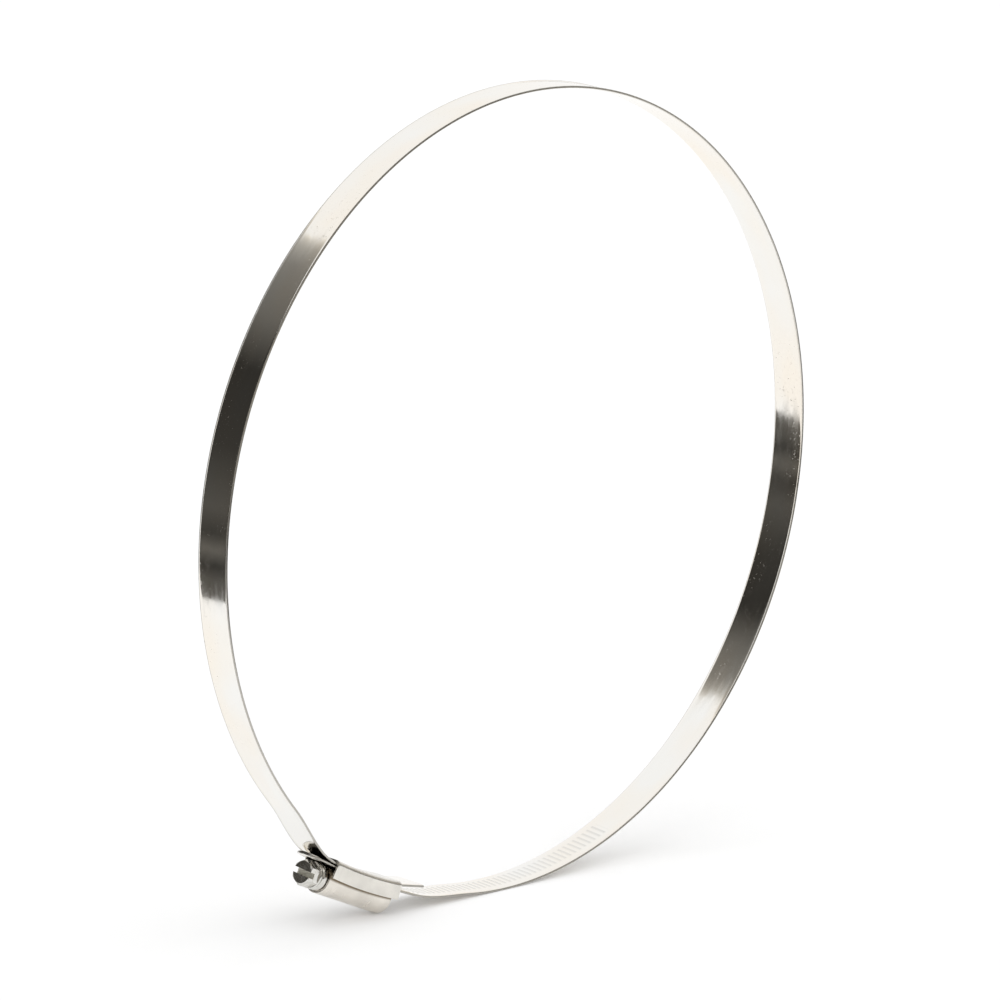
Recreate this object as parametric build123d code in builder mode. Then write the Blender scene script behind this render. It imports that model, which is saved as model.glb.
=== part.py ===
from build123d import *
import math
import os

# A worm drive hose clamp: a polished steel band with rolled edges, closed into a ring by a saddle
# and a screw housing that hold a slotted hexagon worm screw against the band's pressed thread.
# Millimetres, +Z up. The origin is the ring's centre, on the hose's axis, which is Y.
# The clamp stands on its rim: on the lowest point of the ring and the corner of the housing.

# ---------------------------------------------------------------- driving dimensions
# Ring and band
HOSE_RADIUS = 122.15
BAND_WIDTH = 12.0
BAND_THICKNESS = 0.6
EDGE_ROLL_RADIUS = 1.5
EDGE_ROLL_ANGLE = 38.0

# The band's two ends at the head
TONGUE_LENGTH = 8.8
TONGUE_BEND_RADIUS = 15.0
TONGUE_BEND_ANGLE = 6.0
FIXED_BLEND_ANGLE = 12.0
THREADED_BLEND_ANGLE = 10.0
OUTER_ARC_ANGLE = 5.5
STRAIGHT_UNDER_SCREW = 14.0
TAIL_BEND_RADIUS = 120.0
TAIL_LENGTH = 8.8
TAIL_TIP_RADIUS = 5.0

# Thread pressed into the outside of the band
GROOVE_LENGTH = 7.0
GROOVE_WIDTH = 1.3
GROOVE_DEPTH = 0.35
THREAD_ENGAGEMENT = 0.25
GROOVES_BEFORE_FOOT = 16
GROOVES_PAST_FOOT = 44

# Saddle, the channel that wraps the two layers of band
SADDLE_SHEET = 0.6
SADDLE_LENGTH = 29.0
SADDLE_FLOOR_RADIUS = 172.0
SADDLE_CORNER_RADIUS = 0.9
SADDLE_WALL_RISE = 1.6
SADDLE_PAST_FOOT = 1.5

# Screw housing, the tunnel over the worm
HOUSING_SHEET = 0.75
HOUSING_SETBACK = 0.4
THROAT_THICKNESS = 0.9
THROAT_HEIGHT = 0.25
HOUSING_BEND_RADIUS = 0.5

# Worm screw
CREST_RADIUS = 3.9
ROOT_RADIUS = 3.2
THREAD_PITCH = 2.2
THREAD_ROOT_WIDTH = 1.1
THREAD_CREST_WIDTH = 0.5
THREAD_SINK = 0.25
NECK_RADIUS = 2.6
COLLAR_RADIUS = 4.1
COLLAR_LENGTH = 3.2
COLLAR_CHAMFER = 0.4
HEX_ACROSS_FLATS = 7.0
HEX_HEIGHT = 3.9
HEX_FACE_RADIUS = 3.4
HEX_CHAMFER_ANGLE = 30.0
SLOT_WIDTH = 1.7
SLOT_DEPTH = 1.9
SLOT_TURN = 4.0
TIP_LENGTH = 1.0

# Clearances
SEAT_CLEARANCE = 0.05
LAYER_CLEARANCE = 0.2
SIDE_CLEARANCE = 0.1
NECK_CLEARANCE = 0.08
TUNNEL_CLEARANCE = 0.15
SHOULDER_CLEARANCE = 0.03
COLLAR_GAP = 0.25

# ---------------------------------------------------------------- worked-out dimensions
half_band = BAND_WIDTH / 2
half_thick = BAND_THICKNESS / 2
roll = math.radians(EDGE_ROLL_ANGLE)
edge_top = EDGE_ROLL_RADIUS * (1 - math.cos(roll)) + half_thick * math.cos(roll)
flat_half_width = half_band - (EDGE_ROLL_RADIUS + half_thick) * math.sin(roll)

# Heights are distances from the hose's axis, measured along the line to the head's foot.
ring_mid = HOSE_RADIUS + half_thick
ring_outer = ring_mid + edge_top
floor_face = HOSE_RADIUS + SEAT_CLEARANCE
fixed_mid = floor_face + SADDLE_SHEET + SEAT_CLEARANCE + half_thick
threaded_mid = fixed_mid + BAND_THICKNESS + LAYER_CLEARANCE
screw_height = threaded_mid + half_thick - THREAD_ENGAGEMENT + CREST_RADIUS
tunnel_inner = CREST_RADIUS + TUNNEL_CLEARANCE
tunnel_outer = tunnel_inner + HOUSING_SHEET
wall_top = threaded_mid + edge_top + SADDLE_WALL_RISE
saddle_inside = half_band + SIDE_CLEARANCE
saddle_outside = saddle_inside + SADDLE_SHEET

# Stations are distances along the screw from the foot, negative towards the screw's head.
saddle_end = SADDLE_PAST_FOOT
saddle_mouth = saddle_end - SADDLE_LENGTH
housing_end = saddle_end - HOUSING_SETBACK
housing_front = saddle_mouth + HOUSING_SETBACK
collar_back = housing_front - COLLAR_GAP
collar_front = collar_back - COLLAR_LENGTH
hex_front = collar_front - HEX_HEIGHT
screw_tip = housing_end - HOUSING_SETBACK

# The head's foot lies where the ring and the housing's corner stand on one floor.
corner_height = screw_height + tunnel_outer
corner_lead = math.degrees(math.atan2(housing_end, corner_height))
corner_swing = math.degrees(math.acos(ring_outer / math.hypot(corner_height, housing_end)))
foot_angle = 270 - corner_swing - corner_lead

outward = Vector(math.cos(math.radians(foot_angle)), 0, math.sin(math.radians(foot_angle)))
along = Vector(-outward.Z, 0, outward.X)
across = Vector(0, 1, 0)

# In the head's side plane X is the station and Y the height, and the ring's centre is the origin.
head_side = Plane(origin=(0, 0, 0), x_dir=along, z_dir=across)


def head_section(station, height=0):
    """A plane across the screw: its Y axis points away from the hose."""
    return Plane(origin=along * station + outward * height, x_dir=-across, z_dir=along)


# ---------------------------------------------------------------- band
# Its path runs from the fixed end's tongue, under the saddle, round the ring, back under the
# screw and out at the mouth as the threaded tail.
fixed_radius = SADDLE_FLOOR_RADIUS + fixed_mid - floor_face
fixed_lead = math.degrees(math.asin(saddle_end / fixed_radius))
fixed_turn = math.degrees(math.asin(-saddle_mouth / fixed_radius))
mouth_lead = math.degrees(math.atan2(saddle_mouth, fixed_mid))
ring_start = mouth_lead - FIXED_BLEND_ANGLE
ring_stop = OUTER_ARC_ANGLE + THREADED_BLEND_ANGLE
ring_sweep = 360 + ring_start - ring_stop
tail_turn = math.degrees(math.asin((-saddle_mouth - STRAIGHT_UNDER_SCREW) / TAIL_BEND_RADIUS))

with BuildLine(head_side) as band_path:
    under_fixed = CenterArc(
        (0, fixed_mid - fixed_radius), fixed_radius, 90 - fixed_lead, fixed_lead + fixed_turn
    )
    tongue_bend = JernArc(
        under_fixed @ 0, -(under_fixed % 0), TONGUE_BEND_RADIUS, -TONGUE_BEND_ANGLE
    )
    tongue = Line(tongue_bend @ 1, tongue_bend @ 1 + (tongue_bend % 1) * TONGUE_LENGTH)
    ring_arc = CenterArc((0, 0), ring_mid, 90 - ring_start, ring_sweep)
    fixed_blend = Spline(
        under_fixed @ 1, ring_arc @ 0, tangents=(under_fixed % 1, ring_arc % 0)
    )
    outer_arc = CenterArc((0, 0), threaded_mid, 90 - OUTER_ARC_ANGLE, OUTER_ARC_ANGLE)
    threaded_blend = Spline(
        ring_arc @ 1, outer_arc @ 0, tangents=(ring_arc % 1, outer_arc % 0)
    )
    under_screw = Line((0, threaded_mid), (-STRAIGHT_UNDER_SCREW, threaded_mid))
    tail_bend = CenterArc(
        (-STRAIGHT_UNDER_SCREW, threaded_mid - TAIL_BEND_RADIUS), TAIL_BEND_RADIUS, 90, tail_turn
    )
    tail = Line(tail_bend @ 1, tail_bend @ 1 + (tail_bend % 1) * TAIL_LENGTH)

band_wire = band_path.wire()
tip_station = band_wire.length
foot_station = tip_station - TAIL_LENGTH - tail_bend.length - STRAIGHT_UNDER_SCREW
groove_slant = math.degrees(math.atan2(THREAD_PITCH, 2 * math.pi * CREST_RADIUS))


def band_face(station, depth):
    """A plane on the band, facing away from the hose, depth below its outer face."""
    heading = band_wire.tangent_at(station, position_mode=PositionMode.LENGTH)
    facing = heading.cross(across)
    point = band_wire.position_at(station, position_mode=PositionMode.LENGTH)
    return Plane(origin=point + facing * (half_thick - depth), x_dir=across, z_dir=facing)


with BuildPart() as groove_cutters:
    for number in range(-GROOVES_PAST_FOOT, GROOVES_BEFORE_FOOT):
        groove_station = foot_station + (number + 0.5) * THREAD_PITCH
        with BuildSketch(band_face(groove_station, GROOVE_DEPTH)):
            SlotOverall(GROOVE_LENGTH, GROOVE_WIDTH, rotation=groove_slant)
        extrude(amount=2 * GROOVE_DEPTH)

with BuildPart() as tip_cutter:
    with BuildSketch(band_face(tip_station, half_thick)):
        with Locations((0, -TAIL_TIP_RADIUS / 2)):
            Rectangle(2 * BAND_WIDTH, TAIL_TIP_RADIUS)
        with Locations((0, -TAIL_TIP_RADIUS)):
            SlotOverall(2 * saddle_inside, 2 * TAIL_TIP_RADIUS, mode=Mode.SUBTRACT)
    extrude(amount=BAND_THICKNESS * 2, both=True)

with BuildPart() as band:
    with BuildSketch(Plane(origin=band_wire @ 0, x_dir=across, z_dir=band_wire % 0)):
        with BuildLine():
            hose_face = Line((0, -half_thick), (flat_half_width, -half_thick))
            under_roll = JernArc(
                hose_face @ 1, (1, 0), EDGE_ROLL_RADIUS + half_thick, EDGE_ROLL_ANGLE
            )
            outer_face = Line((0, half_thick), (flat_half_width, half_thick))
            over_roll = JernArc(
                outer_face @ 1, (1, 0), EDGE_ROLL_RADIUS - half_thick, EDGE_ROLL_ANGLE
            )
            Line(under_roll @ 1, over_roll @ 1)
            mirror(about=Plane.YZ)
        make_face()
    sweep(path=band_wire)
    add(groove_cutters.part, mode=Mode.SUBTRACT)
    add(tip_cutter.part, mode=Mode.SUBTRACT)

# ---------------------------------------------------------------- saddle
# Its floor is a gentle arc on the hose side, and its walls stop at one straight edge along the
# screw housing.
floor_lead = math.degrees(math.asin(saddle_end / SADDLE_FLOOR_RADIUS))
floor_turn = math.degrees(math.asin(-saddle_mouth / SADDLE_FLOOR_RADIUS))
wall_blank = 2 * (wall_top - floor_face)

with BuildLine(head_side) as saddle_path:
    CenterArc(
        (0, floor_face - SADDLE_FLOOR_RADIUS),
        SADDLE_FLOOR_RADIUS,
        90 - floor_lead,
        floor_lead + floor_turn,
    )

saddle_wire = saddle_path.wire()

with BuildPart() as saddle:
    with BuildSketch(Plane(origin=saddle_wire @ 0, x_dir=across, z_dir=saddle_wire % 0)):
        with Locations((0, wall_blank / 2)):
            RectangleRounded(2 * saddle_outside, wall_blank, SADDLE_CORNER_RADIUS)
        with Locations((0, wall_blank / 2 + SADDLE_SHEET)):
            RectangleRounded(
                2 * saddle_inside,
                wall_blank,
                SADDLE_CORNER_RADIUS - SADDLE_SHEET,
                mode=Mode.SUBTRACT,
            )
    sweep(path=saddle_wire)
    split(bisect_by=Plane(outward * wall_top, z_dir=outward), keep=Keep.BOTTOM)

# ---------------------------------------------------------------- screw housing
# A tunnel over the worm, with shoulders held between the saddle's walls and a front wall that
# the screw's neck turns in.
shoulder_half = saddle_inside - SHOULDER_CLEARANCE
shoulder_height = wall_top - HOUSING_SHEET / 2
leg_height = screw_height - wall_top + HOUSING_SHEET
throat_bottom = threaded_mid + half_thick + THROAT_HEIGHT

with BuildPart() as screw_housing:
    with BuildSketch(head_section(housing_front)) as tunnel_section:
        with Locations((0, screw_height)):
            Circle(tunnel_outer)
        with Locations((0, screw_height - leg_height / 2)):
            Rectangle(2 * tunnel_outer, leg_height)
        with Locations((0, shoulder_height)):
            Rectangle(2 * shoulder_half, HOUSING_SHEET)
        bend_corners = tunnel_section.vertices().filter_by(
            lambda corner: math.isclose(abs(corner.X), tunnel_outer)
            and math.isclose(corner.Y, wall_top)
        )
        fillet(bend_corners, HOUSING_BEND_RADIUS)
        with Locations((0, screw_height)):
            Circle(tunnel_inner, mode=Mode.SUBTRACT)
        with Locations((0, screw_height - leg_height)):
            Rectangle(2 * tunnel_inner, 2 * leg_height, mode=Mode.SUBTRACT)
    extrude(amount=housing_end - housing_front)
    with BuildSketch(head_section(housing_front)):
        with Locations((0, screw_height)):
            Circle(tunnel_outer)
        with Locations((0, (screw_height + throat_bottom) / 2)):
            Rectangle(2 * tunnel_outer, screw_height - throat_bottom)
        with Locations((0, throat_bottom - tunnel_outer)):
            Rectangle(4 * tunnel_outer, 2 * tunnel_outer, mode=Mode.SUBTRACT)
        with Locations((0, screw_height)):
            Circle(NECK_RADIUS + NECK_CLEARANCE, mode=Mode.SUBTRACT)
    extrude(amount=THROAT_THICKNESS)

# ---------------------------------------------------------------- worm screw
neck_end = housing_front + THROAT_THICKNESS + COLLAR_GAP
screw_axis = Axis(outward * screw_height, along)
hex_corner = HEX_ACROSS_FLATS / math.sqrt(3)
chamfer_run = (hex_corner - HEX_FACE_RADIUS) * math.tan(math.radians(HEX_CHAMFER_ANGLE))

# A thread crest meets the band halfway between each two whole pitches from the foot.
first_turn = math.ceil((neck_end + THREAD_ROOT_WIDTH / 2) / THREAD_PITCH + 0.25)
thread_start = (first_turn - 0.25) * THREAD_PITCH
thread_length = screw_tip - TIP_LENGTH - THREAD_ROOT_WIDTH / 2 - thread_start

with BuildPart() as worm_thread:
    with BuildLine():
        crest_line = Helix(THREAD_PITCH, thread_length, ROOT_RADIUS)
    with BuildSketch(Plane(crest_line @ 0, x_dir=(1, 0, 0), z_dir=crest_line % 0)):
        with BuildLine():
            Polyline(
                (-THREAD_SINK, -THREAD_ROOT_WIDTH / 2),
                (CREST_RADIUS - ROOT_RADIUS, -THREAD_CREST_WIDTH / 2),
                (CREST_RADIUS - ROOT_RADIUS, THREAD_CREST_WIDTH / 2),
                (-THREAD_SINK, THREAD_ROOT_WIDTH / 2),
                close=True,
            )
        make_face()
    sweep(path=crest_line, is_frenet=True)

with BuildPart() as worm_screw:
    with BuildSketch(head_side):
        with BuildLine():
            Polyline(
                (collar_front, screw_height),
                (collar_front, screw_height + COLLAR_RADIUS - COLLAR_CHAMFER),
                (collar_front + COLLAR_CHAMFER, screw_height + COLLAR_RADIUS),
                (collar_back, screw_height + COLLAR_RADIUS),
                (collar_back, screw_height + NECK_RADIUS),
                (neck_end, screw_height + NECK_RADIUS),
                (neck_end, screw_height + ROOT_RADIUS),
                (screw_tip - TIP_LENGTH, screw_height + ROOT_RADIUS),
                (screw_tip, screw_height + ROOT_RADIUS - TIP_LENGTH),
                (screw_tip, screw_height),
                close=True,
            )
        make_face()
    revolve(axis=screw_axis)
    add(worm_thread.part.moved(Location(head_section(thread_start, screw_height))))
    with BuildSketch(head_section(collar_front, screw_height)):
        RegularPolygon(HEX_ACROSS_FLATS / 2, 6, major_radius=False)
    extrude(amount=-HEX_HEIGHT)
    with BuildSketch(head_side):
        with BuildLine():
            Polyline(
                (hex_front, screw_height + HEX_FACE_RADIUS),
                (hex_front, screw_height + 2 * hex_corner),
                (hex_front + chamfer_run, screw_height + 2 * hex_corner),
                (hex_front + chamfer_run, screw_height + hex_corner),
                close=True,
            )
        make_face()
    revolve(axis=screw_axis, mode=Mode.SUBTRACT)
    with BuildSketch(head_section(hex_front, screw_height)):
        Rectangle(4 * hex_corner, SLOT_WIDTH, rotation=SLOT_TURN)
    extrude(amount=SLOT_DEPTH, mode=Mode.SUBTRACT)

# ---------------------------------------------------------------- STEP files
pieces = {
    "band": band,
    "saddle": saddle,
    "screw_housing": screw_housing,
    "worm_screw": worm_screw,
}
os.makedirs("parts", exist_ok=True)
for name, piece in pieces.items():
    piece.part.label = name
    export_step(piece.part, f"parts/{name}.step")
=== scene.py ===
import math

import bmesh
import bpy
from mathutils import Matrix, Quaternion, Vector


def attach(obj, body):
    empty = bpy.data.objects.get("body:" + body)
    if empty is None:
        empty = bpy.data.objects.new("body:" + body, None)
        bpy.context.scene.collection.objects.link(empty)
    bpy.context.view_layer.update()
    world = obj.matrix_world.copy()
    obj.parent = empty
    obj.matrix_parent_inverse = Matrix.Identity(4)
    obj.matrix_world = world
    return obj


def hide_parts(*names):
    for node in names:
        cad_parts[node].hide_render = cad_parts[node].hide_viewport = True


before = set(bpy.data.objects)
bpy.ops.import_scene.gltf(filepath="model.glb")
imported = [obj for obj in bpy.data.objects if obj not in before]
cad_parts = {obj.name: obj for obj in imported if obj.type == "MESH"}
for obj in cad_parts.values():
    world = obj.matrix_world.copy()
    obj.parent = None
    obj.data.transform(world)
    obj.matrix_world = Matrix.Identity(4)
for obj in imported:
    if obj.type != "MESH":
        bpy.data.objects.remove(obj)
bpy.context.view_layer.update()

# A worm drive hose clamp: a polished strip with rolled edges in a ring, and a head made of a
# saddle, a screw housing and a worm screw. Sizes are millimetres until a mesh is made.
MM = 0.001

# ---------------------------------------------------------------- sizes of the strip
HOSE_RADIUS = 122.15
BAND_WIDTH = 12.0
BAND_THICKNESS = 0.6
EDGE_ROLL_RADIUS = 1.5
EDGE_ROLL_ANGLE = 38.0
TONGUE_LENGTH = 8.8
TONGUE_BEND_RADIUS = 15.0
TONGUE_BEND_ANGLE = 6.0
FIXED_BLEND_ANGLE = 12.0
THREADED_BLEND_ANGLE = 10.0
OUTER_ARC_ANGLE = 5.5
STRAIGHT_UNDER_SCREW = 14.0
TAIL_BEND_RADIUS = 120.0
TAIL_LENGTH = 8.8
TAIL_TIP_RADIUS = 6.0
GROOVE_LENGTH = 7.0
GROOVE_WIDTH = 1.5
GROOVE_DEPTH = 0.35
GROOVES_BEFORE_FOOT = 16
GROOVES_PAST_FOOT = 44

# ---------------------------------------------------------------- sizes of the head
SADDLE_SHEET = 0.6
SADDLE_LENGTH = 29.0
SADDLE_FLOOR_RADIUS = 172.0
SADDLE_CORNER_RADIUS = 1.4
SADDLE_WALL_RISE = 1.6  # how far the housing's shoulders stand over the strip's edges
SADDLE_CROWN = -13.0  # the station of the saddle's highest point
SADDLE_SINK = 0.3  # how far the saddle's floor lies nearer the hose than the ring's inside
SADDLE_WALL = 5.5  # the side walls' height, measured from the floor's outside
SADDLE_PAST_FOOT = 1.5
HOUSING_SHEET = 0.75
HOUSING_SETBACK = 0.4
HOUSING_BEND_RADIUS = 0.5
THROAT_THICKNESS = 0.9
THROAT_HEIGHT = 0.25
THROAT_RECESS = 0.12
CREST_RADIUS = 3.9
ROOT_RADIUS = 3.2
THREAD_PITCH = 2.2
THREAD_ROOT_WIDTH = 1.1
THREAD_CREST_WIDTH = 0.5
THREAD_ENGAGEMENT = 0.25
NECK_RADIUS = 2.6
COLLAR_RADIUS = 4.1
COLLAR_LENGTH = 3.2
FLANGE_LENGTH = 0.8
COLLAR_GROOVE_LENGTH = 0.3
COLLAR_GROOVE_DEPTH = 0.32
SCREW_TIP_LENGTH = 1.0
SCREW_TIP_DROP = 1.1
HEX_ACROSS_FLATS = 7.0
HEX_HEIGHT = 3.9
HEX_FACE_RADIUS = 3.4
HEX_CHAMFER_ANGLE = 30.0
SLOT_WIDTH = 1.7
SLOT_DEPTH = 1.9
SLOT_TURN = 4.0
SEAT_CLEARANCE = 0.05
LAYER_CLEARANCE = 0.2
SIDE_CLEARANCE = 0.1
NECK_CLEARANCE = 0.08
TUNNEL_CLEARANCE = 0.15
SHOULDER_CLEARANCE = 0.03
COLLAR_GAP = 0.25

# How wide the sharp edges of each pressed or cut shape are rounded.
SADDLE_ROUNDING = 0.1
TUNNEL_ROUNDING = 0.12
THROAT_ROUNDING = 0.08
HEXAGON_ROUNDING = 0.16

# ---------------------------------------------------------------- sizes of what finishes a shape
RIM_ON_FACE = 0.75  # the share of an edge's roll from which its inner face is sheared dull and painted in shade
RIM_ON_BACK = 0.95  # the same on its outer face
FACE_TOLERANCE = 0.02
INNER_PRESS = 0.5  # the share of a groove's depth that shows on the hose side
# A few points that round the strip's cut edge: how far down it, and how far out of it.
LIP = ((0.12, 0.1), (0.5, 0.16), (0.88, 0.1))

# ---------------------------------------------------------------- how finely shapes are drawn
SAME_POINT = 1e-7  # metres
FLAT_STEPS = 12
EDGE_ROLL_STEPS = 5
SADDLE_BEND_STEPS = 6
SADDLE_ROWS = 28
TUNNEL_ARC_STEPS = 24
TUNNEL_BEND_STEPS = 5
TUNNEL_ROWS = 14
THROAT_STEPS = 72
TURNED_STEPS = 96
HELIX_STEPS = 40  # for each turn
STRIP_SMOOTHING = 8  # rows of points for each groove

# ---------------------------------------------------------------- colours
STRIP_PLAIN = (0.90, 0.89, 0.86)
STRIP_WARM = (0.92, 0.86, 0.77)
# Painted shade in the pressed grooves of the thread.
STRIP_GROOVE_SHADE = (0.55, 0.55, 0.53)
# Painted shade along the rolled rims, which are also sheared dull.
STRIP_SHEARED_AND_SHADED = (0.5, 0.48, 0.44)
SADDLE_COLOR = (0.77, 0.745, 0.69)
HOUSING_COLOR = (0.8, 0.76, 0.695)
# Painted shade in the crease where the tunnel meets the saddle walls' rims.
SEAM_SHADE_COLOR = (0.2, 0.16, 0.11)
SCREW_DULL = (0.66, 0.65, 0.61)
SCREW_BRIGHT = (0.8, 0.785, 0.75)
# Painted light: the slot's floor shown paler than the rest of the screw.
SLOT_FLOOR_PAINTED_LIGHT = (0.97, 0.96, 0.9)

# ---------------------------------------------------------------- worked-out sizes
half_band = BAND_WIDTH / 2
half_thick = BAND_THICKNESS / 2
edge_roll = math.radians(EDGE_ROLL_ANGLE)
edge_top = EDGE_ROLL_RADIUS * (1 - math.cos(edge_roll)) + half_thick * math.cos(edge_roll)
flat_half_width = half_band - (EDGE_ROLL_RADIUS + half_thick) * math.sin(edge_roll)

ring_mid = HOSE_RADIUS + half_thick
ring_outer = ring_mid + edge_top
floor_face = HOSE_RADIUS + SEAT_CLEARANCE
crown_face = floor_face - SADDLE_SINK
rim_face = crown_face + SADDLE_WALL
rim_radius = SADDLE_FLOOR_RADIUS + SADDLE_WALL
fixed_mid = floor_face + SADDLE_SHEET + SEAT_CLEARANCE + half_thick
threaded_mid = fixed_mid + BAND_THICKNESS + LAYER_CLEARANCE
screw_height = threaded_mid + half_thick - THREAD_ENGAGEMENT + CREST_RADIUS
tunnel_inner = CREST_RADIUS + TUNNEL_CLEARANCE
tunnel_outer = tunnel_inner + HOUSING_SHEET
shoulder_top = threaded_mid + edge_top + SADDLE_WALL_RISE
saddle_inside = half_band + SIDE_CLEARANCE
saddle_outside = saddle_inside + SADDLE_SHEET

saddle_end = SADDLE_PAST_FOOT
saddle_mouth = saddle_end - SADDLE_LENGTH
housing_end = saddle_end - HOUSING_SETBACK
housing_front = saddle_mouth + HOUSING_SETBACK
collar_back = housing_front - COLLAR_GAP
collar_front = collar_back - COLLAR_LENGTH
hex_front = collar_front - HEX_HEIGHT
screw_tip = housing_end - HOUSING_SETBACK

# The head's foot, where the ring and the housing's corner stand on one floor.
corner_height = screw_height + tunnel_outer
corner_lead = math.degrees(math.atan2(housing_end, corner_height))
corner_swing = math.degrees(math.acos(ring_outer / math.hypot(corner_height, housing_end)))
foot_angle = math.radians(270 - corner_swing - corner_lead)

outward = Vector((math.cos(foot_angle), 0, math.sin(foot_angle)))
along = Vector((-outward.z, 0, outward.x))
across = Vector((0, 1, 0))


def head_point(station, height, side=0.0):
    """A point by its station along the screw, its height from the hose's axis and its side."""
    return (along * station + outward * height + across * side) * MM


# ---------------------------------------------------------------- node helpers
def add_node(tree, kind, inputs=None, **settings):
    """A new node with its settings, its fixed values and its links."""
    node = tree.nodes.new(kind)
    for name, value in settings.items():
        setattr(node, name, value)
    for name, value in (inputs or {}).items():
        socket = node.inputs[name]
        if isinstance(value, bpy.types.NodeSocket):
            tree.links.new(value, socket)
        else:
            socket.default_value = value
    return node


def calc(tree, operation, *values):
    """A Math node's result."""
    return add_node(
        tree, "ShaderNodeMath", dict(enumerate(values)), operation=operation
    ).outputs[0]


def vector_calc(tree, operation, *values, result=0):
    """A Vector Math node's result."""
    node = add_node(
        tree, "ShaderNodeVectorMath", dict(enumerate(values)), operation=operation
    )
    return node.outputs[result]


# ---------------------------------------------------------------- materials
def steel(name, color, roughness):
    """A bare steel with its Principled shader, and the Object coordinates."""
    material = bpy.data.materials.new(name)
    material.use_nodes = True
    tree = material.node_tree
    shader = tree.nodes["Principled BSDF"]
    shader.inputs["Base Color"].default_value = (*color, 1)
    shader.inputs["Metallic"].default_value = 1
    shader.inputs["Roughness"].default_value = roughness
    coordinates = add_node(tree, "ShaderNodeTexCoord").outputs["Object"]
    return material, tree, shader, coordinates


def noise(tree, coordinates, scale, detail=2.0):
    """A noise texture's value, over stretched coordinates."""
    stretched = vector_calc(tree, "MULTIPLY", coordinates, scale)
    return add_node(
        tree, "ShaderNodeTexNoise", {"Vector": stretched, "Scale": 1.0, "Detail": detail}
    ).outputs[0]


def remap(tree, value, low, high, to_low, to_high):
    """A value moved from one range to another, kept inside it."""
    return add_node(
        tree,
        "ShaderNodeMapRange",
        {0: value, 1: low, 2: high, 3: to_low, 4: to_high},
        clamp=True,
    ).outputs[0]


def blend(tree, factor, first, second):
    """Two colours mixed by a factor, each a plain colour or a node's."""
    first, second = (
        color if isinstance(color, bpy.types.NodeSocket) else (*color, 1)
        for color in (first, second)
    )
    return add_node(
        tree, "ShaderNodeMix", {0: factor, 6: first, 7: second}, data_type="RGBA"
    ).outputs[2]


def bump(tree, heights, distances):
    """Bumps one on top of the other."""
    normal = None
    for height, distance in zip(heights, distances):
        inputs = {"Height": height, "Distance": distance, "Strength": 1.0}
        if normal is not None:
            inputs["Normal"] = normal
        normal = add_node(tree, "ShaderNodeBump", inputs).outputs[0]
    return normal


def attribute_value(tree, name):
    """A piece's own attribute."""
    return add_node(tree, "ShaderNodeAttribute", attribute_name=name).outputs["Fac"]


def head_coordinates(tree, coordinates):
    """Station, height and side in the head's own directions, in metres."""
    station = vector_calc(tree, "DOT_PRODUCT", coordinates, tuple(along), result=1)
    height = vector_calc(tree, "DOT_PRODUCT", coordinates, tuple(outward), result=1)
    side = vector_calc(tree, "DOT_PRODUCT", coordinates, tuple(across), result=1)
    return add_node(
        tree, "ShaderNodeCombineXYZ", {0: station, 1: height, 2: side}
    ).outputs[0]


def polished_strip():
    """Bright rolled strip: lines along it, slow waves, faint stains and specks, painted shade in
    the thread's pressed grooves, and painted shade along its rims, which are sheared dull too."""
    material, tree, shader, coordinates = steel("band_steel", (0.90, 0.87, 0.81), 0.1)
    lines = noise(tree, coordinates, (12, 2600, 12), 3.0)
    waves = noise(tree, coordinates, (45, 140, 45), 1.0)
    stain = noise(tree, coordinates, (26, 60, 26))
    haze = noise(tree, coordinates, (160, 600, 160), 3.0)
    specks = noise(tree, coordinates, (1300, 1300, 1300))
    dent = attribute_value(tree, "dent")
    rim = attribute_value(tree, "rim")
    color = blend(tree, remap(tree, stain, 0.35, 0.68, 0, 1), STRIP_PLAIN, STRIP_WARM)
    # Painted shade in the thread's pressed grooves.
    color = blend(tree, calc(tree, "MULTIPLY", dent, 0.4), color, STRIP_GROOVE_SHADE)
    # Painted shade along the rims, which are also sheared dull and rougher.
    color = blend(tree, rim, color, STRIP_SHEARED_AND_SHADED)
    tree.links.new(color, shader.inputs["Base Color"])
    rough = remap(tree, haze, 0.3, 0.75, 0.05, 0.16)
    specked = calc(
        tree,
        "MULTIPLY",
        remap(tree, specks, 0.62, 0.74, 0, 0.4),
        remap(tree, stain, 0.42, 0.6, 0, 1),
    )
    rough = calc(tree, "ADD", rough, specked)
    tree.links.new(calc(tree, "MULTIPLY_ADD", rim, 0.2, rough), shader.inputs["Roughness"])
    tree.links.new(
        bump(tree, (waves, lines), (0.00010, 0.000002)), shader.inputs["Normal"]
    )
    return material


def seam_shade(tree, place, color):
    """Painted shade: the colour darkened up to 0.9 mm above the line of the saddle walls' rims, in
    the crease where the tunnel meets them.
    """
    parts = add_node(tree, "ShaderNodeSeparateXYZ", {0: place})
    off_crown = calc(tree, "SUBTRACT", parts.outputs[0], SADDLE_CROWN * MM)
    square = calc(tree, "MULTIPLY", off_crown, off_crown)
    sag = calc(tree, "DIVIDE", square, 2 * rim_radius * MM)
    above_crown = calc(tree, "SUBTRACT", parts.outputs[1], rim_face * MM)
    above_rim = calc(tree, "ADD", above_crown, sag)
    return blend(tree, remap(tree, above_rim, 0.3 * MM, 0.9 * MM, 0, 1), SEAM_SHADE_COLOR, color)


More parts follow.
